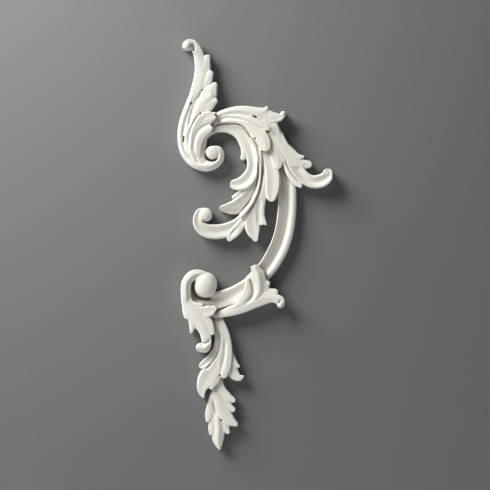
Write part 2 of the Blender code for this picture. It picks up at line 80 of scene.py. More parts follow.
# Every lobe: profile, heights off the wall from root to tip, and its way from root to tip
# as (across, up, half width)
plume = {
    "outerStrip": ("round", (13, 9.8, 9.6, 9.8, 10.4), [
        (-46, 281.4, 3.4), (-54, 284.4, 3.8), (-60.4, 289.4, 3.8), (-65.8, 296.6, 3.4),
        (-68.6, 306, 3.2), (-68.9, 318, 3.2), (-66.4, 330, 3.4), (-62.2, 341, 3.6),
        (-58.4, 351, 3.4)]),
    "stem": ("flat", (10, 10.4, 11, 12, 14.6), [
        (-62, 338, 2.6), (-58.6, 347, 3.8), (-54.6, 357, 5), (-50.6, 368, 6), (-48.6, 378, 6.4),
        (-49.6, 387, 5.6), (-51, 394, 5.2), (-53.2, 399.6, 5.2), (-57, 403.6, 5.2),
        (-60.4, 404.6, 4.8)]),
    "middleStrip": ("round", (10.2, 10, 10.4), [
        (-56, 288, 2.4), (-60.6, 293.6, 2.4), (-63.4, 302, 2.4), (-63.8, 312, 2.6),
        (-62, 323, 3), (-58.4, 334, 3.4), (-54.4, 344, 3.6), (-50.6, 353, 3)]),
    "firstLobe": ("flat", (10, 11.8), [
        (-52, 352, 3), (-48.8, 364, 5.4), (-46.2, 376, 6.6), (-44.4, 385, 5.4),
        (-42.8, 390.6, 3.4)]),
    "firstCorner": ("flat", (10.6, 11.8), [(-45, 384, 4), (-42.2, 390, 2.4), (-40.9, 392.8, 1.2)]),
    "plumeSheet": ("flat", (10.2, 11.6), [
        (-54, 350, 4), (-50, 362, 6.4), (-47.4, 374, 7.6), (-46.6, 384, 6.4)]),
    "secondLobe": ("flat", (10.2, 12), [
        (-50, 357, 1.6), (-45.4, 363, 3.4), (-41.6, 370, 4), (-39.2, 375.6, 2.8)]),
    "broadLeaf": ("flat", (12.4, 10.2, 11, 12.8), [
        (-50, 286, 2), (-55, 290.6, 2), (-58.6, 297, 2), (-60.6, 305, 2.2), (-60.4, 314, 2.6),
        (-58.6, 323, 3.6), (-54.6, 332.6, 5.4), (-49.4, 341.6, 7.2), (-43.2, 350, 8.4),
        (-38.8, 357.4, 6.8), (-35.4, 363.8, 3)]),
    "fourthLobe": ("flat", (10.8, 12.6), [
        (-52, 336, 5), (-45.8, 342, 7.2), (-40, 345.6, 6), (-35, 348.4, 2.6)]),
    "leafSheet": ("flat", (10.8, 12.7), [
        (-55, 334, 4), (-48.6, 343, 8), (-43, 349.6, 7), (-41.6, 351, 5.4)]),
    "innerSlope": ("fallsRight", (11.6, 10.8, 13.6), [
        (-43, 285, 3.2), (-47, 290.4, 4.6), (-49, 297, 5.4), (-49.4, 304, 5.6), (-47.8, 311, 5.2),
        (-44.4, 316, 4.2), (-40.4, 318.6, 3)]),
    "capLobe": ("softLeft", (10.6, 12.6, 15.6), [
        (-49, 287.6, 2.4), (-54.2, 293.8, 3.4), (-56.4, 301, 4.6), (-55.6, 310, 6),
        (-52, 318.4, 7.6), (-47, 325.4, 8.4), (-43, 330, 7.4), (-41, 331.4, 6.2)]),
    "capCorner": ("flat", (13.6, 15.6), [(-46, 330, 5), (-39, 333.6, 3.2), (-35.4, 335.4, 1.4)]),
    "capRightCorner": ("flat", (13.6, 15.6), [
        (-45, 329, 5), (-39, 331, 3.6), (-35.8, 331.2, 2.2)]),
    "capLowerLobe": ("flat", (10.4, 12.2, 14.8), [
        (-49, 289, 2.6), (-52.2, 296, 3.8), (-52.6, 304, 4.8), (-50.4, 311.4, 5.2),
        (-46, 316.8, 4.8), (-40.4, 320.4, 3.4)]),
    "volute": ("round", (10, 11, 11.4, 11.6), [
        (-60, 287.6, 2), (-55, 285.4, 3.6), (-49, 284, 4.8), (-42, 283.4, 5.4),
        (-35.2, 285.8, 4.9), (-30.8, 290, 4.4), (-29.8, 295, 4.2), (-31.8, 298.6, 4.6),
        (-35.4, 298.8, 5)]),
    "base": ("flat", (5, 5), [(-50, 300, 4), (-44, 291, 5), (-36, 291, 5), (-33, 297, 4)]),
}
arch = {
    "topStrip": ("flat", (9, 12.4, 13.6, 14.6), [
        (-40, 329.4, 2.4), (-34, 332.6, 3), (-27, 335.6, 3.6), (-17, 338, 4.2),
        (-8, 338.4, 4.8), (2, 337.4, 5), (9, 336.6, 4.8), (14, 338, 3.6), (16.6, 340.8, 1.8)]),
    "archSheet": ("flat", (12.6, 14.4), [
        (-6, 333.6, 4.4), (6, 333.6, 6.6), (15, 334, 6.8), (21, 332.6, 5)]),
    "hookLobe": ("soft", (9, 12.4, 13.6, 15), [
        (-40, 327, 2.4), (-33, 330.6, 3), (-22, 333.4, 3.6), (-10, 332.8, 4.2), (0, 330.6, 5),
        (10, 330.4, 6), (18, 331.6, 6.2), (24, 331.4, 5.2), (29, 331.4, 3.8),
        (31.8, 333, 2.6)]),
    "thirdLobe": ("flat", (11.6, 14, 15.2), [
        (-26, 331.6, 2), (-14, 331.6, 2.6), (-3, 328.6, 3.6), (7, 324.8, 4.2), (13.6, 321.6, 3.4),
        (17.6, 320.4, 2)]),
    "greatLobe": ("flat", (9, 12.2, 14, 16), [
        (-41, 323.4, 2.4), (-34, 327.2, 3), (-24, 329, 3.8), (-13, 327.8, 4.8), (-3.4, 323.8, 5.8),
        (5.2, 318.2, 6.8), (11.4, 312, 7.4), (14.4, 306.4, 6.8), (15.2, 303.4, 5.8)]),
    "core": ("flat", (9, 9), [
        (-44, 322, 5), (-30, 330, 7), (-14, 332, 8), (2, 328, 9), (12, 318, 9), (15, 306, 6),
        (14, 296, 4)]),
    "underLobe": ("flat", (12, 13.4), [
        (-30, 327.2, 1.8), (-18, 327.8, 2.4), (-8.6, 325.4, 3.2), (-1.4, 320.2, 3.6),
        (2.2, 314.8, 2.6), (3.2, 312.2, 1.4)]),
}
swirl = {
    "body": ("crestLeft", (8.6, 9.6, 11.6, 11.4), [
        (-46, 312, 2.6), (-38, 318.5, 3.4), (-30, 321.2, 4), (-21, 320.7, 4.6), (-13, 317.4, 5.4),
        (-6, 311, 6.2), (-0.6, 303, 6.6), (2.4, 293.6, 6.4), (3.2, 284, 6), (1, 275.4, 6.6),
        (-4, 268.6, 7.2), (-10, 265.4, 6.6), (-14.6, 265, 5.4)]),
    "core": ("flat", (9.4, 9.2, 8), [
        (-14, 318, 3), (-2, 314, 5), (7, 303, 8), (13, 291, 9), (14, 278, 9), (10, 262, 9),
        (5, 247, 8), (-4, 234, 6), (-14, 226, 4)]),
    "edgeLobe": ("flat", (9.2, 10.8), [
        (-16, 317.6, 2.4), (-11.6, 313, 3), (-7.6, 307.6, 4), (-5, 301.6, 4.4), (-4.8, 296, 4.2),
        (-6.8, 292, 2.8)]),
    "lobe3": ("flat", (9.6, 10.4), [
        (1, 266, 4.4), (-5, 259, 4.4), (-11, 255, 3.4), (-16, 252.4, 2.2)]),
    "lobe4": ("rimRight", (10.2, 11), [
        (4, 268, 4), (1, 258, 5.4), (-4.6, 250, 7), (-12.4, 243.6, 7.6), (-20, 241.6, 6),
        (-27, 241.4, 3.4)]),
    "slimFinger": ("round", (11.2, 11.8, 13.2), [
        (6.5, 312, 1.1), (9.5, 303, 1.4), (10.4, 294, 1.7), (10.5, 285, 1.8), (10.3, 275, 1.9),
        (9.2, 265, 2), (6.6, 255.5, 2.3), (2.6, 247, 2.8), (-2.4, 240, 3.3), (-7, 234.8, 3.6)]),
    "lobe8": ("soft", (10, 11.4, 13), [
        (14, 302, 3.8), (19, 290, 6), (21.6, 280, 7.2), (22.6, 270, 7.8), (22.2, 260, 7.2),
        (21.4, 253, 5)]),
    "lobe7": ("flat", (11, 11.8), [
        (16, 275, 3.6), (13, 259, 4.4), (10.6, 246, 4.6), (9.8, 236, 4.8), (10.8, 229, 4.6)]),
    "lobe7Tip": ("flat", (11, 12), [(10.4, 237, 3.6), (12.8, 230, 2.8), (15.4, 225.8, 1.3)]),
    "bladeSheet": ("flat", (11.2, 11.6), [
        (12, 264, 4), (9.4, 250, 5.4), (7.6, 238, 6.4), (7, 229, 5)]),
    "lobe6": ("soft", (11, 12.2), [
        (14.6, 280, 3), (10.6, 264, 4.4), (6.4, 250, 5.8), (3.4, 238, 6.8), (2.2, 228, 7.4),
        (3.2, 219, 7), (5.4, 211.2, 3)]),
    "lobe5": ("soft", (10.6, 11.6), [
        (-3, 233, 3.6), (-9.4, 224.6, 4.6), (-15, 217.4, 4.8), (-20.2, 211.4, 3)]),
    "curl": ("softDish", (11, 11, 12.4), [
        (6, 250, 3.6), (-1, 237, 4.6), (-8, 229, 5.8), (-16, 223, 6.6), (-26, 219, 7.2),
        (-36, 218, 7.4), (-44.6, 219.6, 6.8), (-50.6, 224.8, 5.6), (-52, 231.4, 4.6),
        (-49.4, 236.6, 4.6), (-45.6, 237.4, 4.6)]),
}
rightLeaf = {
    "shoulder": ("soft", (14.2, 14.1, 12), [
        (17, 331.6, 4.6), (21, 325.6, 5.6), (24.4, 318.6, 5.4), (27.6, 312, 4.2)]),
    "shortLobe": ("flat", (12.4, 12.6, 13.3), [
        (22, 322, 4), (24.4, 311, 6.2), (26.8, 301, 7.4), (27.4, 291, 6.8), (27.8, 284.8, 4.4)]),
    "tail": ("channel", (12.4, 12.8, 12.8, 14), [
        (23.6, 325, 3.2), (28.4, 312, 5.4), (34, 299.4, 7), (42, 288.2, 8.8), (48, 278.4, 7),
        (54.6, 271.4, 6.2), (62, 267.8, 6.4), (70, 268.4, 6.8), (76, 272, 6.2),
        (77.2, 276, 5)]),
    "upperTip": ("flat", (12, 13), [
        (29, 309, 3), (34, 303.6, 4.2), (39.8, 297.4, 4.8), (46.4, 292.6, 3.6),
        (52.6, 292.6, 1.4)]),
    "lowerTip": ("flat", (10.6, 12.6), [
        (36, 299, 5), (44, 290.6, 6.4), (51.4, 286, 5), (57.6, 285, 3.8)]),
    "narrowLobe": ("flat", (10.6, 12.6, 13.8), [
        (31.6, 295, 0.7), (36, 282.4, 2.4), (40.2, 274, 3.1), (45.6, 267.4, 3.2),
        (49.6, 264, 2.2)]),
    "leafSheet": ("flat", (12.2, 12.8, 12.5), [
        (22.6, 322, 4), (26.4, 311, 6.4), (32, 299.6, 7.6), (40.2, 290.8, 7.8), (48, 286.4, 5.4),
        (54, 286, 3)]),
}
band = {
    "scrollBand": ("band", (7, 8.8, 9, 8.6), [
        (32, 290, 6.4), (35.4, 276, 8), (37, 260, 9), (37, 242, 9.3), (35.6, 227, 9.5),
        (33.2, 215, 9.6), (29.6, 204, 9.7), (24.6, 194, 9.6), (18.4, 184, 9.2), (10.6, 175, 8.8),
        (2, 167.4, 8.2)]),
    "lowerBand": ("dish", (11, 8.6, 7.4), [
        (10, 174, 7), (1, 166.4, 7.6), (-9, 159.4, 8), (-19, 154, 8.6), (-30, 150.2, 9),
        (-42, 148, 9), (-52, 148, 8)]),
}
lowerLeaf = {
    "fold": ("flat", (10.8, 12.8, 13.6), [
        (-34, 136.4, 1.6), (-23, 139.6, 3), (-13, 144.4, 4.4), (-5.4, 151, 5), (-2, 158.4, 4.6),
        (-1.8, 165, 3.4), (-2.4, 169.4, 1.8)]),
    "sheet": ("flat", (12.4, 13.4), [
        (-12, 142.6, 3), (-1, 147.2, 6.2), (7.6, 153, 8.4), (12, 160.4, 8), (12, 168, 5.6)]),
    "topLobe": ("midrib", (12.6, 14.8), [
        (3, 148, 4), (8.4, 157, 6.4), (9.2, 166, 7), (8, 175, 7.4), (6, 180.4, 5)]),
    "topTip": ("flat", (13, 14.8), [(7, 172, 3.6), (4.2, 179, 3), (1.6, 182.9, 1.1)]),
    "sideLobe": ("flat", (12.4, 13.4), [(8, 158, 4), (13.6, 164, 4.4), (17, 166.6, 3)]),
    "lowerSideLobe": ("flat", (12.4, 13.6), [(12, 152, 4), (18.4, 156.8, 4.6), (24.2, 158, 3.6)]),
    "curl": ("flat", (11.6, 12.8, 15), [
        (-38, 134, 1.6), (-24, 136.4, 3), (-10, 141.4, 5), (2, 147.4, 6.4), (12, 151.6, 6.8),
        (19.6, 152.8, 5.4), (25.4, 151.8, 4.6), (29.8, 149.6, 4.8), (30.8, 146.8, 3.8)]),
}
lowerVolute = {
    "band": ("rollRight", (13.4, 14.6, 14.6, 14, 12.4), [
        (-62.8, 145, 3.6), (-63.2, 151, 4.8), (-63.6, 156, 5), (-63.8, 162, 5),
        (-62.6, 168.4, 5), (-57.2, 174.6, 5), (-50.6, 176.2, 4.2), (-44.6, 174.8, 3.6)]),
    "recess": ("flat", (7, 7), [
        (-58, 164, 5), (-59, 155, 6), (-52, 149, 7), (-42, 146, 7), (-33, 147, 5)]),
    "slit": ("flat", (4, 4), [(-44, 140, 4), (-30, 140, 4), (-18, 144, 5), (-8, 152, 5)]),
}
wrapLeaf = {
    "body": ("flat", (12.2, 14.2, 15.2), [
        (-60, 172, 3), (-63, 165, 3.6), (-64, 157, 4.4), (-62.2, 147.6, 6), (-56.4, 137.6, 8.8),
        (-50.6, 129.4, 7.8), (-45.8, 120.8, 5.6), (-43.4, 113, 5.2), (-43.2, 107, 4.8)]),
    "firstTip": ("flat", (12.2, 14), [(-64, 148, 3.4), (-63.6, 140, 3.6), (-63, 134.2, 2.8)]),
    "leafSheet": ("flat", (13.6, 15), [
        (-60, 146, 4), (-57, 139, 9), (-52.8, 134, 9), (-49.6, 129, 6.6),
        (-46.6, 122.6, 4.2)]),
    "secondTip": ("flat", (13.8, 14.4), [
        (-58, 140, 5), (-57.2, 130, 4), (-57.4, 123.6, 3), (-58.2, 118.8, 1.6)]),
    "upperRightLobe": ("soft", (14, 15), [
        (-56, 138, 5), (-46.4, 138, 6), (-39.4, 139.6, 5.4), (-35.8, 141.8, 3)]),
    "smallTip": ("flat", (13.6, 14.2), [(-60, 147, 3), (-54, 145, 3.4), (-48.6, 145.2, 2.2)]),
    "lowerRightLobe": ("flat", (14, 14.8), [
        (-49, 133, 6), (-42.4, 127.4, 5.8), (-39, 121.6, 4), (-37.6, 118.2, 2.6)]),
    "roll": ("round", (15, 15.4), [
        (-42, 106, 3.8), (-44.6, 102.6, 4.6), (-49.4, 103, 4.4)]),
}
pendant = {
    "leftFinger": ("crestLeft", (9, 10.6), [
        (-35.5, 132, 1.9), (-33, 119, 2.5), (-32.4, 109, 3), (-34, 99.6, 3.8),
        (-39, 91.6, 4.6), (-45.4, 86.4, 4), (-47.6, 85, 3.2)]),
    "core": ("flat", (6, 6), [
        (-36, 138, 5), (-30, 124, 5), (-27, 106, 7), (-28, 88, 8), (-32, 74, 6), (-32, 60, 5)]),
    "sheet": ("flat", (9.2, 11.2), [
        (-29, 128, 2.6), (-26, 114, 4.4), (-25.6, 100, 5.6), (-28, 88, 6)]),
    "mainLobe": ("soft", (9.6, 12.2), [
        (-33, 131, 1.9), (-28.6, 118, 2.6), (-27, 107, 3.2), (-28.2, 97, 4.4), (-32.4, 87.4, 6.4),
        (-38.4, 78.6, 8.8), (-44, 70.6, 8.6), (-47.4, 63.4, 5.6), (-47.6, 58, 3.4),
        (-46.6, 54.6, 1.6)]),
    "innerTip": ("flat", (10, 11.6), [
        (-31, 90, 4), (-33.4, 80, 6), (-35.8, 71, 6), (-38, 64, 2.8)]),
    "rightStrip": ("flat", (9, 12), [
        (-30, 132, 2.2), (-24.6, 118, 3.6), (-22.4, 106, 4.4), (-22.2, 95, 4.8), (-23.6, 84, 5),
        (-25.6, 76, 3.6)]),
    "upperSideTip": ("flat", (8.4, 9.4), [
        (-22, 102, 3), (-18.4, 92, 3.8), (-14.6, 86.4, 2.8), (-11.6, 84, 1.4)]),
    "lowerSideTip": ("flat", (8.4, 9.8), [
        (-21, 95, 3), (-19, 85, 4.6), (-16, 76.6, 5.4), (-11.2, 72.8, 3.6), (-7.8, 73.6, 1.6)]),
}
endLeaf = {
    "firstRight": ("flat", (8, 9.4), [
        (-31.6, 72, 2.6), (-28.4, 61, 4.2), (-23, 53.6, 4.6), (-17.2, 50.4, 2.7)]),
    "secondRight": ("flat", (8, 9.2), [
        (-31, 60, 3.6), (-26.4, 49, 4.6), (-20.6, 42.8, 4.2), (-17.2, 41, 2.6)]),
    "thirdRight": ("flat", (8.8, 9.8), [
        (-34.4, 62, 3.4), (-31.6, 49, 5.4), (-26.4, 38.4, 6.6), (-20.6, 30.6, 5.8),
        (-14.6, 26.6, 2.5)]),
    "fourthRight": ("flat", (7.6, 8.6), [(-29, 34, 3.4), (-25.4, 25.6, 4.4), (-22.4, 19, 2.4)]),
    "centre": ("midrib", (8, 8.6), [
        (-34, 54, 3.8), (-32.4, 36, 4.8), (-31.4, 22, 6.4), (-31.8, 11.6, 5.8), (-30.8, 4.6, 3),
        (-30.2, 2, 1.2)]),
    "lowerLeft": ("flat", (7.6, 8.4), [
        (-35, 40, 3.6), (-36.4, 29, 4.6), (-37.6, 21.4, 4), (-38.2, 18, 2.8)]),
    "upperLeft": ("flat", (7.8, 8.6), [
        (-36.4, 58, 2.8), (-38.6, 46, 4), (-40.4, 37, 4.2), (-41.6, 31.2, 2.8)]),
}
leaves = (plume, arch, swirl, rightLeaf, band, lowerLeaf, lowerVolute, wrapLeaf, pendant, endLeaf)

# Rolled ends and eyes: across, up, radii across and up, height of the rim, rise of the dome
domes = {
    "plumeCurl": (-62.6, 403, 4.7, 4.7, 11.8, 4.2),
    "voluteEye": (-37.4, 296.8, 6.6, 6.6, 11.2, 1.7),
    "swirlCurl": (-44.4, 235, 6.9, 6.9, 10.6, 3),
    "tailCurl": (76.8, 276.6, 4, 4, 12, 1.8),
    "hook": (32.8, 335, 2.8, 2.8, 13.2, 2.4),
    "lowerVoluteEye": (-44.4, 165.2, 11.3, 12.8, 10.2, 6),
    "lowerLeafCurl": (30.2, 145.8, 3.5, 3.5, 13.4, 2.6),
}

# Cuts of a fine gouge or drill: width to each side, depth, and the way of the cut
cuts = {
    "plumeEye": (1.3, 6, [(-47.5, 359), (-47.3, 359)]),
    "plumeSlot": (1.1, 6, [(-59.2, 345.2), (-58.2, 346.4)]),
    "capEye": (1.4, 6, [(-49.4, 335.6), (-49.2, 335.4)]),
    "capLowerEye": (1.2, 5, [(-38.2, 324.2), (-38, 324)]),
    "outerSlot": (1.1, 5, [(-66, 312.6), (-65.9, 310), (-66.2, 308)]),
    "leafGroove": (2.6, 1.6, [
        (-47.6, 358), (-51.8, 349.6), (-55.6, 341.6), (-59, 332), (-61, 322)]),
    "capGroove": (1.7, 2.6, [
        (-49.6, 335), (-54, 330.8), (-57, 325), (-59.4, 318), (-60.6, 310), (-60.4, 303)]),
    "capFold": (2.6, 0.6, [
        (-38.4, 324.2), (-44, 323.2), (-49.6, 319.2), (-54, 312.6), (-56, 305), (-55.6, 297)]),
    "voluteSlit": (2, 8, [
        (-44.2, 297), (-44, 293.4), (-41.6, 290.2), (-37.6, 288.9), (-33.8, 290.4),
        (-31.6, 293.2)]),
    "plumeHollow": (2.8, 3.4, [(-56.4, 399), (-56, 401.4), (-57, 403.4)]),
    "archSlot": (1.2, 6, [(3.4, 333.2), (5, 332.4), (6.2, 331.6)]),
    "archGroove": (2.6, 0.6, [(-34, 330.6), (-24, 334.6), (-12, 335.8), (-3, 334.6), (3, 333.2)]),
    "secondGroove": (2.4, 1, [
        (-34, 328), (-22, 331), (-10, 330), (0, 326.4), (9, 321.4), (16, 318.4)]),
    "underLine": (1.7, 3.4, [
        (-36, 322.6), (-30, 325), (-22, 325.6), (-14, 325), (-8, 322.8), (-3.8, 319.2),
        (-0.6, 314.6), (1.6, 310.4)]),
    "greatLobeEye": (1.2, 6, [(5.2, 310.6), (5.4, 310.4)]),
    "fingerLeftLine": (1.6, 2.8, [
        (8.4, 288), (8.3, 280), (7.9, 272), (6.2, 263), (2.8, 254.4),
        (-1.8, 246.6), (-7, 240), (-10.4, 236.4)]),
    "fingerRightLine": (1.6, 3, [
        (12.5, 286), (12.2, 274), (10.4, 262), (7.2, 252), (2.6, 243.4),
        (-3.4, 235.2)]),
    "lobe5Hollow": (2.8, 1, [(-21.4, 213), (-18, 216.6), (-12.6, 222)]),
    "bladeValley": (4, 0.9, [(10, 252), (8.4, 240), (9.2, 230), (10, 224.6)]),
    "curlComma": (2, 3, [(-40.6, 229), (-43.4, 228), (-46, 228.6)]),
    "narrowGroove": (1.6, 2.2, [
        (34.4, 289), (37.4, 283), (42, 275.6), (47.4, 269), (51.8, 265.4)]),
    "eyeCrescent": (3, 5, [
        (-53.8, 171), (-56.2, 166), (-56.6, 160), (-54.4, 154.6), (-50, 151.8),
        (-43.4, 151.2), (-37.6, 153)]),
    "foldGroove": (2.8, 1.3, [(1.8, 168), (3.3, 162), (3.2, 157), (0.4, 151.4), (-5, 147)]),
    "lowerSlit": (1.4, 2.6, [(-32.7, 140.4), (-26.1, 142), (-17.8, 145), (-12, 149.2)]),
    "leafCurlHollow": (2, 2.2, [(29.8, 149.6), (28.8, 147.4)]),
    "rollHollow": (2.4, 2.2, [(-47, 107.4), (-43.8, 107.8), (-41, 109.4)]),
    "pendantGroove": (2, 2.4, [
        (-31.4, 122), (-29.8, 111), (-30.8, 101), (-34.6, 92.4), (-40.6, 84.6), (-45, 81.4)]),
    "pendantFold": (3, 0.9, [(-24.6, 112), (-25, 100), (-26.6, 90), (-28.6, 80)]),
    "pendantEye": (1.2, 5, [(-29.8, 75.4), (-29.7, 75.2)]),
    "endFold": (2, 1.4, [(-36, 52), (-35, 42), (-31.4, 34)]),
    "endEye": (1.2, 5, [(-28.7, 30.4), (-28.6, 30)]),
}

sweep = {
    "pointsAcross": 13,
    "stepsPerSpan": 6,
    "capRows": 5,
    "rootSink": 3,        # how far a root dips under its neighbours
    "rootShare": 0.2,     # the share of the lobe's length that dips
    "draft": 0.9,         # half width at the wall, as a share of that at the top
    "leastCap": 0.05,     # the last cap row's half width, as a share of the lobe's
}


def eased(known, values, where):
    spans = np.clip(np.searchsorted(known, where, side="right") - 1, 0, len(known) - 2)
    start, end = np.take(known, spans), np.take(known, spans + 1)
    share = (where - start) / (end - start)
    share = share * share * (3 - 2 * share)
    first, last = np.take(values, spans), np.take(values, spans + 1)
    return first + (last - first) * share


def gougeProfile(kind):
    if kind == "band":
        return np.array(bandStations), np.array(bandProfile)
    across = np.linspace(-1, 1, sweep["pointsAcross"])
    return across, eased(stations, profiles[kind], across)


# a Catmull-Rom curve through the chosen points
def smoothPath(points, steps):
    chosen = np.array(points, dtype=float)
    knots = np.vstack([2 * chosen[0] - chosen[1], chosen, 2 * chosen[-1] - chosen[-2]])
    path = []
    for i in range(1, len(knots) - 2):
        before, start, end, after = knots[i - 1:i + 3]
        for step in range(steps):
            t = step / steps
            path.append(start + 0.5 * t * ((end - before)
                        + t * (2 * before - 5 * start + 4 * end - after)
                        + t * t * (3 * (start - end) + after - before)))
    path.append(chosen[-1])
    return np.array(path)


# rows past the last point that narrow to a round end
def roundOff(path):
    heading = path[-1, :2] - path[-2, :2]
    heading /= np.linalg.norm(heading)
    halfWidth = path[-1, 2]
    rows = []
    for row in range(1, sweep["capRows"] + 1):
        turn = math.pi / 2 * row / sweep["capRows"]
        ahead = path[-1, :2] + heading * halfWidth * math.sin(turn)
        rows.append([*ahead, halfWidth * max(math.cos(turn), sweep["leastCap"])])
    return np.vstack([path, rows])


def heightsAlong(heights, path):
    steps = np.linalg.norm(np.diff(path[:, :2], axis=0), axis=1)
    share = np.concatenate([[0], np.cumsum(steps)]) / steps.sum()
    rise = np.interp(share, np.linspace(0, 1, len(heights)), heights)
    sunk = np.clip(1 - share / sweep["rootShare"], 0, 1) ** 2
    return rise - sweep["rootSink"] * sunk


# One stroke of the gouge. Its section changes all along a free curve, which no sweep
# of a bevelled curve follows, so its rings are laid one by one.
def makeLobe(name, kind, heights, points):
    path = roundOff(smoothPath(points, sweep["stepsPerSpan"]))
    path = roundOff(path[::-1])[::-1]
    rise = heightsAlong(heights, path)
    heading = np.gradient(path[:, :2], axis=0)
    heading /= np.linalg.norm(heading, axis=1, keepdims=True)
    across, top = gougeProfile(kind)
    shape = bmesh.new()
    rings = []
    for (x, y, halfWidth), offWall, (ahead, up) in zip(path, rise, heading):
        places = [(x + up * halfWidth * share, y - ahead * halfWidth * share,
                   offWall + halfWidth * height) for share, height in zip(across, top)]
        for share in (sweep["draft"], -sweep["draft"]):
            places.append((x + up * halfWidth * share, y - ahead * halfWidth * share,
                           -grid["belowWall"]))
        rings.append([shape.verts.new(place) for place in places])
    count = len(rings[0])
    for ring, following in zip(rings, rings[1:]):
        for i in range(count):
            j = (i + 1) % count
            shape.faces.new((ring[i], following[i], following[j], ring[j]))
    shape.faces.new(rings[0])
    shape.faces.new(reversed(rings[-1]))
    mesh = bpy.data.meshes.new(name)
    shape.to_mesh(mesh)
    shape.free()
    stroke = bpy.data.objects.new(name, mesh)
    bpy.context.collection.objects.link(stroke)
    return stroke


domeMesh = {
    "segments": 48,
    "rings": 24,
    "rimSlack": 0.01,     # of the rise: rows lower than this below the rim become the foot
}


# a low dome on a foot that goes back to the wall
def makeDome(name, across, up, radiusAcross, radiusUp, rim, rise):
    bpy.ops.object.select_all(action="DESELECT")
    bpy.ops.mesh.primitive_uv_sphere_add(segments=domeMesh["segments"],
                                         ring_count=domeMesh["rings"], radius=1,
                                         location=(across, up, rim))
    dome = bpy.context.object
    dome.name = name
    dome.scale = (radiusAcross, radiusUp, rise)
    bpy.ops.object.transform_apply(location=True, rotation=True, scale=True)
    bpy.ops.object.mode_set(mode="EDIT")
    bpy.ops.mesh.select_all(action="DESELECT")
    bpy.ops.object.mode_set(mode="OBJECT")
    for vertex in dome.data.vertices:
        vertex.select = vertex.co.z < rim - domeMesh["rimSlack"] * rise
    bpy.ops.object.mode_set(mode="EDIT")
    bpy.ops.transform.resize(value=(1, 1, 0), center_override=(across, up, -grid["belowWall"]))
    bpy.ops.object.mode_set(mode="OBJECT")
    return dome


def finishModifier(piece, kind, **settings):
    bpy.context.view_layer.objects.active = piece
    modifier = piece.modifiers.new(kind, kind)
    for setting, value in settings.items():
        setattr(modifier, setting, value)
    bpy.ops.object.modifier_apply(modifier=modifier.name)


carving = {
    "name": "acanthusCarving",
    "grain": 0.00072,      # metres, of the fused surface
    "mostTriangles": 190000,
    "smoothed": (0.5, 2),  # how strongly and how often the fused surface is smoothed
    "cutSteps": 4,         # to each span of a cut's way
    "cutFloor": 2.5,       # no cut goes nearer the wall than this
    "creaseAngle": 50,     # degrees
    "fadeLength": 5,       # modules from the end of a long cut to its full depth
    "least": 0.001,        # stands for no length, so that nothing is divided by zero
}


# How deep a cut is at each point: 1 on its line and 0 from the given width on. A long cut
# fades in and out at its ends.
def cutShare(places, line, width):
    nearest = np.full(len(places), np.inf)
    along = np.zeros(len(places))
    gone = 0
    for start, end in zip(line, line[1:]):
        way = end - start
        length = max(np.linalg.norm(way), carving["least"])
        share = np.clip(((places - start) @ way) / length ** 2, 0, 1)
        away = np.linalg.norm(places - start - share[:, None] * way, axis=1)
        along = np.where(away < nearest, gone + share * length, along)
        nearest = np.minimum(nearest, away)
        gone += length
    fade = carving["fadeLength"] if gone > 2 * carving["fadeLength"] else carving["least"]
    faded = np.clip(np.minimum(along, gone - along) / fade, 0, 1) if fade > width else 1
    return faded * np.clip(1 - (nearest / width) ** 2, 0, 1) ** 2


def carve(places):
    for width, depth, way in cuts.values():
        line = smoothPath([(*point, 0) for point in way], carving["cutSteps"])[:, :2]
        nearby = np.all((places[:, :2] > line.min(0) - width)
                        & (places[:, :2] < line.max(0) + width), axis=1)
        height = places[nearby, 2]
        cut = height - depth * cutShare(places[nearby, :2], line, width)
        places[nearby, 2] = np.maximum(cut, np.minimum(height, carving["cutFloor"]))
    return places


# How sheltered a point is: the height round it, averaged over a square, less its own; the finish
# paints shade and edge highlight from it
shelter = {
    "cell": 0.5,       # modules
    "near": 3,         # cells to each side
    "wide": 12,
    "footHeight": 6,   # below this the shelter fades, to nothing at the wall
}


def heightField(places):
    cells = np.floor(places[:, :2] / shelter["cell"]).astype(int)
    corner = cells.min(0) - shelter["wide"]
    field = np.zeros(cells.max(0) - corner + shelter["wide"] + 1)
    np.maximum.at(field, tuple((cells - corner).T), places[:, 2])
    return field, corner


def averaged(field, reach):
    for axis in (0, 1):
        for turn in range(2):   # two boxes in a row are near enough to a soft round brush
            summed = np.cumsum(np.pad(field, [(reach + 1, reach) if a == axis else (0, 0)
                                              for a in (0, 1)], mode="edge"), axis=axis)
            upper = np.take(summed, range(2 * reach + 1, summed.shape[axis]), axis=axis)
            lower = np.take(summed, range(summed.shape[axis] - 2 * reach - 1), axis=axis)
            field = (upper - lower) / (2 * reach + 1)
    return field


def storeShelter(piece, field, corner):
    count = len(piece.data.vertices)
    places = np.empty(count * 3)
    piece.data.vertices.foreach_get("co", places)
    places = places.reshape(-1, 3)
    cells = np.floor(places[:, :2] / shelter["cell"]).astype(int) - corner
    for name, reach in (("near", shelter["near"]), ("wide", shelter["wide"])):
        around = averaged(field, reach)[tuple(cells.T)]
        footFade = np.clip(places[:, 2] / shelter["footHeight"], 0, 1)
        deeper = footFade * (around - places[:, 2])
        piece.data.attributes.new(name, "FLOAT", "POINT").data.foreach_set("value", deeper)


# stretches the piece a little, so that it fills the solid's own box
def fitToSolid(piece):
    places = np.empty(len(piece.data.vertices) * 3)
    piece.data.vertices.foreach_get("co", places)
    places = places.reshape(-1, 3)
    lowest, highest = places.min(0), places.max(0)
    places = np.array(low) + (places - lowest) * (np.array(high - low) / (highest - lowest))
    piece.data.vertices.foreach_set("co", places.ravel())
    piece.data.update()


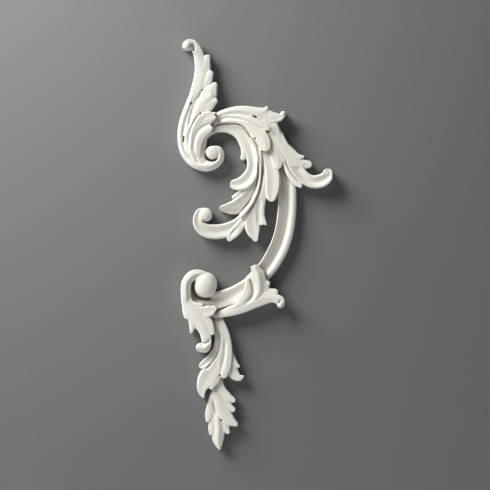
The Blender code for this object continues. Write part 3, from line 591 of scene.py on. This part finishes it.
def makeCarving():
    strokes = [makeLobe(name, *lobe) for leaf in leaves for name, lobe in leaf.items()]
    strokes += [makeDome(name, *dome) for name, dome in domes.items()]
    bpy.ops.object.select_all(action="DESELECT")
    for stroke in strokes:
        stroke.select_set(True)
    bpy.context.view_layer.objects.active = strokes[0]
    bpy.ops.object.join()
    piece = bpy.context.object
    piece.name = carving["name"]
    print(len(strokes), "strokes joined")

    finishModifier(piece, "REMESH", mode="VOXEL", voxel_size=carving["grain"] / module)
    factor, times = carving["smoothed"]
    finishModifier(piece, "SMOOTH", factor=factor, iterations=times)
    places = np.empty(len(piece.data.vertices) * 3)
    piece.data.vertices.foreach_get("co", places)
    places = carve(places.reshape(-1, 3))
    piece.data.vertices.foreach_set("co", places.ravel())
    piece.data.update()
    field, corner = heightField(places)
    print("fused and carved,", len(piece.data.polygons), "faces")

    bpy.ops.object.mode_set(mode="EDIT")
    bpy.ops.mesh.select_all(action="SELECT")
    bpy.ops.mesh.bisect(plane_co=(0, 0, 0), plane_no=(0, 0, 1), use_fill=True, clear_inner=True)
    bpy.ops.mesh.select_all(action="SELECT")
    bpy.ops.mesh.quads_convert_to_tris()
    bpy.ops.object.mode_set(mode="OBJECT")
    full = len(piece.data.polygons)
    if full > carving["mostTriangles"]:
        finishModifier(piece, "DECIMATE", ratio=carving["mostTriangles"] / full)
    storeShelter(piece, field, corner)

    # up from the grid to the wall, and to the very box of the solid
    piece.location = (0, 0, -grid["originUp"] * module)
    piece.scale = (module, module, deepModule)
    piece.rotation_euler.x = math.pi / 2
    bpy.ops.object.transform_apply(location=True, rotation=True, scale=True)
    fitToSolid(piece)
    bpy.ops.object.shade_smooth_by_angle(angle=math.radians(carving["creaseAngle"]))
    return piece


piece = makeCarving()
print(carving["name"], "has", len(piece.data.polygons), "triangles")


# A wire is one socket's value. Sums on wires add their Math nodes.
class Wire:
    def __init__(self, finish, socket):
        self.finish = finish
        self.socket = socket

    def math(self, operation, *values):
        sockets = dict(enumerate(values))
        return self.finish.node("ShaderNodeMath", {"operation": operation}, sockets)

    def __add__(self, other):
        return self.math("ADD", self, other)

    def __radd__(self, other):
        return self.math("ADD", other, self)

    def __sub__(self, other):
        return self.math("SUBTRACT", self, other)

    def __rsub__(self, other):
        return self.math("SUBTRACT", other, self)

    def __mul__(self, other):
        return self.math("MULTIPLY", self, other)

    def __rmul__(self, other):
        return self.math("MULTIPLY", other, self)

    def clamped(self):
        return self.math("MINIMUM", self.math("MAXIMUM", self, 0), 1)


# One material: node() makes any node from its type, settings and sockets
class Finish:
    def __init__(self, name):
        self.material = bpy.data.materials.new(name)
        self.material.use_nodes = True
        self.nodes = self.material.node_tree.nodes
        self.links = self.material.node_tree.links
        self.shader = self.nodes["Principled BSDF"]

    def feed(self, target, value):
        if isinstance(value, Wire):
            self.links.new(value.socket, target)
        else:
            target.default_value = value

    def node(self, kind, settings, sockets, output=0):
        made = self.nodes.new(kind)
        for setting, value in settings.items():
            setattr(made, setting, value)
        for socket, value in sockets.items():
            self.feed(made.inputs[socket], value)
        return Wire(self, made.outputs[output])

    def mixColour(self, share, first, second):
        return self.node("ShaderNodeMix", {"data_type": "RGBA"}, {0: share, 6: first, 7: second}, 2)

    def noise(self, place, scale, detail):
        sockets = {"Vector": place, "Scale": scale, "Detail": detail}
        return self.node("ShaderNodeTexNoise", {}, sockets)

    def attribute(self, name):
        return self.node("ShaderNodeAttribute", {"attribute_name": name}, {}, "Fac")


castFinish = {
    "ivory": (0.84, 0.82, 0.735, 1),
    "palerIvory": (0.9, 0.885, 0.83, 1),
    "roseShadeAndTone": (0.70, 0.66, 0.61, 1),
    # painted shade colour, laid into recesses and along the foot by the wall
    "warmShade": (0.30, 0.26, 0.22, 1),
    # how much of a colour shows: a gain and an offset
    "paleShare": (1.6, -0.4),      # on the mottle
    "paintedRecessShade": (0.22, -0.07),  # on the near shelter: painted shade, warm and dark in recesses and creases
    "rimWearAndPaintedHighlight": (-0.25, 0),        # on the near shelter: painted highlight on raised edges, partly worn paint
    "paintedFootShade": (100, 1.5),       # painted shade near the wall, on Y in metres, 0 at the wall and negative before it
    "roseShadeAndMottleGains": (0.16, 0.2),      # on the wide shelter, painted shade in broad hollows, and on the mottle, tone that differs at random
    "mottle": (14, 3),             # scale and detail of the noise
    "stipple": (620, 2),
    "stippleDepth": 0.0002,        # metres
    "roughness": 0.5,
    "roughStipple": 0.16,
    "roughRecess": (0.12, 0.4),    # at most, and gain on the near shelter
}


def shareOf(wire, name):
    gain, offset = castFinish[name]
    return (wire * gain + offset).clamped()


def ivoryCast():
    finish = Finish("ivoryCast")
    place = finish.node("ShaderNodeTexCoord", {}, {}, "Object")
    near, wide = finish.attribute("near"), finish.attribute("wide")
    mottle = finish.noise(place, *castFinish["mottle"])
    stipple = finish.noise(place, *castFinish["stipple"])
    inward = finish.node("ShaderNodeSeparateXYZ", {}, {0: place}, "Y")
    colour = finish.mixColour(shareOf(mottle, "paleShare"), castFinish["ivory"],
                              castFinish["palerIvory"])
    # rose tint: painted shade in broad hollows by the wide shelter, and random tone by the mottle
    onWide, onMottle = castFinish["roseShadeAndMottleGains"]
    colour = finish.mixColour((wide * onWide + mottle * onMottle).clamped(), colour,
                              castFinish["roseShadeAndTone"])
    # painted shade: recesses and creases darkened to a warm brown by the near shelter
    colour = finish.mixColour(shareOf(near, "paintedRecessShade"), colour, castFinish["warmShade"])
    # raised edges paler: part painted highlight, part worn paint
    colour = finish.mixColour(shareOf(near, "rimWearAndPaintedHighlight"), colour, castFinish["palerIvory"])
    # painted shade: the sides and low floors near the wall darkened to the warm shade colour
    colour = finish.mixColour(shareOf(inward, "paintedFootShade"), colour, castFinish["warmShade"])
    finish.feed(finish.shader.inputs["Base Color"], colour)
    roughMost, roughGain = castFinish["roughRecess"]
    finish.feed(finish.shader.inputs["Roughness"],
                castFinish["roughness"] + castFinish["roughStipple"] * (stipple - 0.5)
                + roughMost * (near * roughGain).clamped())
    bump = finish.node("ShaderNodeBump", {}, {"Distance": castFinish["stippleDepth"],
                                             "Height": stipple})
    finish.feed(finish.shader.inputs["Normal"], bump)
    return finish.material


piece.data.materials.clear()
piece.data.materials.append(ivoryCast())
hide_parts("acanthus_scroll")
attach(piece, "root")
print("ivory finish on")

backdrop = {
    "side": 6,
    "grey": 0.26,
    "paintedFalloffGrey": 0.176,     # painted falloff of light: the wall's grey from a metre away from the painted bright corner on
    "paintedLightCorner": (-0.44, 0.58, 0),
    "tint": (0.985, 0.995, 1.02),
    "roughness": 0.7,
    "gap": 0.0006,        # between the back of the carving and the wall
    "floorBelow": 0.5,
    "paleGrey": 0.6,      # of the floor
}
middle = ((low.x + high.x) / 2, 0, (low.z + high.z) / 2)


def coolGrey(grey):
    return *(grey * share for share in backdrop["tint"]), 1


def plainSheet(name, grey, location, turn):
    bpy.ops.object.select_all(action="DESELECT")
    bpy.ops.mesh.primitive_plane_add(size=backdrop["side"], location=location, rotation=turn)
    sheet = bpy.context.object
    sheet.name = name
    finish = Finish(name + "Paint")
    finish.shader.inputs["Base Color"].default_value = coolGrey(grey)
    finish.shader.inputs["Roughness"].default_value = backdrop["roughness"]
    sheet.data.materials.append(finish.material)
    return sheet, finish


wall, wallPaint = plainSheet("wall", backdrop["grey"], (middle[0], backdrop["gap"], middle[2]),
                             (math.pi / 2, 0, 0))
# painted light: the wall's grey dims with distance from a painted bright corner
place = wallPaint.node("ShaderNodeTexCoord", {}, {}, "Object")
away = wallPaint.node("ShaderNodeVectorMath", {"operation": "DISTANCE"},
                      {0: place, 1: backdrop["paintedLightCorner"]}, "Value")
wallPaint.feed(wallPaint.shader.inputs["Base Color"],
               wallPaint.mixColour(away.clamped(), coolGrey(backdrop["grey"]),
                                   coolGrey(backdrop["paintedFalloffGrey"])))
# from behind, the wall lets the flat back of the carving be seen
seeThrough = wallPaint.node("ShaderNodeBsdfTransparent", {}, {})
behind = wallPaint.node("ShaderNodeNewGeometry", {}, {}, "Backfacing")
front = Wire(wallPaint, wallPaint.shader.outputs[0])
bothSides = wallPaint.node("ShaderNodeMixShader", {}, {0: behind, 1: front, 2: seeThrough})
wallPaint.links.new(bothSides.socket, wallPaint.nodes["Material Output"].inputs["Surface"])
wall.visible_shadow = False
plainSheet("floor", backdrop["paleGrey"], (middle[0], 0, low.z - backdrop["floorBelow"]), (0, 0, 0))

roomLight = 0.017   # strength of the world's even white
lights = {
    # name: way from the middle of the carving, width, watts, colour
    "keyLight": ((-2.2, -1.25, 2.2), 2.2, 190, (1, 0.988, 0.96)),
    "fillLight": ((0.3, -2.6, 0.3), 2.4, 0.6, (1, 0.99, 0.97)),
    "behindLight": ((0.8, 2.4, 0.8), 2, 40, (1, 1, 1)),
}
for name, (way, width, watts, colour) in lights.items():
    lamp = bpy.data.lights.new(name, "AREA")
    lamp.shape = "DISK"
    lamp.size = width
    lamp.energy = watts
    lamp.color = colour
    light = bpy.data.objects.new(name, lamp)
    bpy.context.scene.collection.objects.link(light)
    light.location = Vector(middle) + Vector(way)
    light.rotation_euler = (-Vector(way)).to_track_quat("-Z", "Y").to_euler()

world = bpy.data.worlds.new("softRoom")
world.use_nodes = True
world.node_tree.nodes["Background"].inputs["Color"].default_value = (1, 1, 1, 1)
world.node_tree.nodes["Background"].inputs["Strength"].default_value = roomLight
bpy.context.scene.world = world
bpy.context.scene.view_settings.view_transform = "Standard"

photoView = {
    "middleAcross": -5,    # modules from the upright through the origin
    "middleUp": 205,
    "modulesWide": 490,
    "distance": 3,         # metres
    "sensor": 36,          # millimetres
}
camera = bpy.data.cameras.new("camera")
camera.sensor_width = photoView["sensor"]
camera.lens = photoView["sensor"] * photoView["distance"] / (photoView["modulesWide"] * module)
viewer = bpy.data.objects.new("camera", camera)
viewer.location = (photoView["middleAcross"] * module, -photoView["distance"],
                   (photoView["middleUp"] - grid["originUp"]) * module)
viewer.rotation_euler = (math.pi / 2, 0, 0)
bpy.context.scene.collection.objects.link(viewer)
bpy.context.scene.camera = viewer
print("stage, lights and camera set")
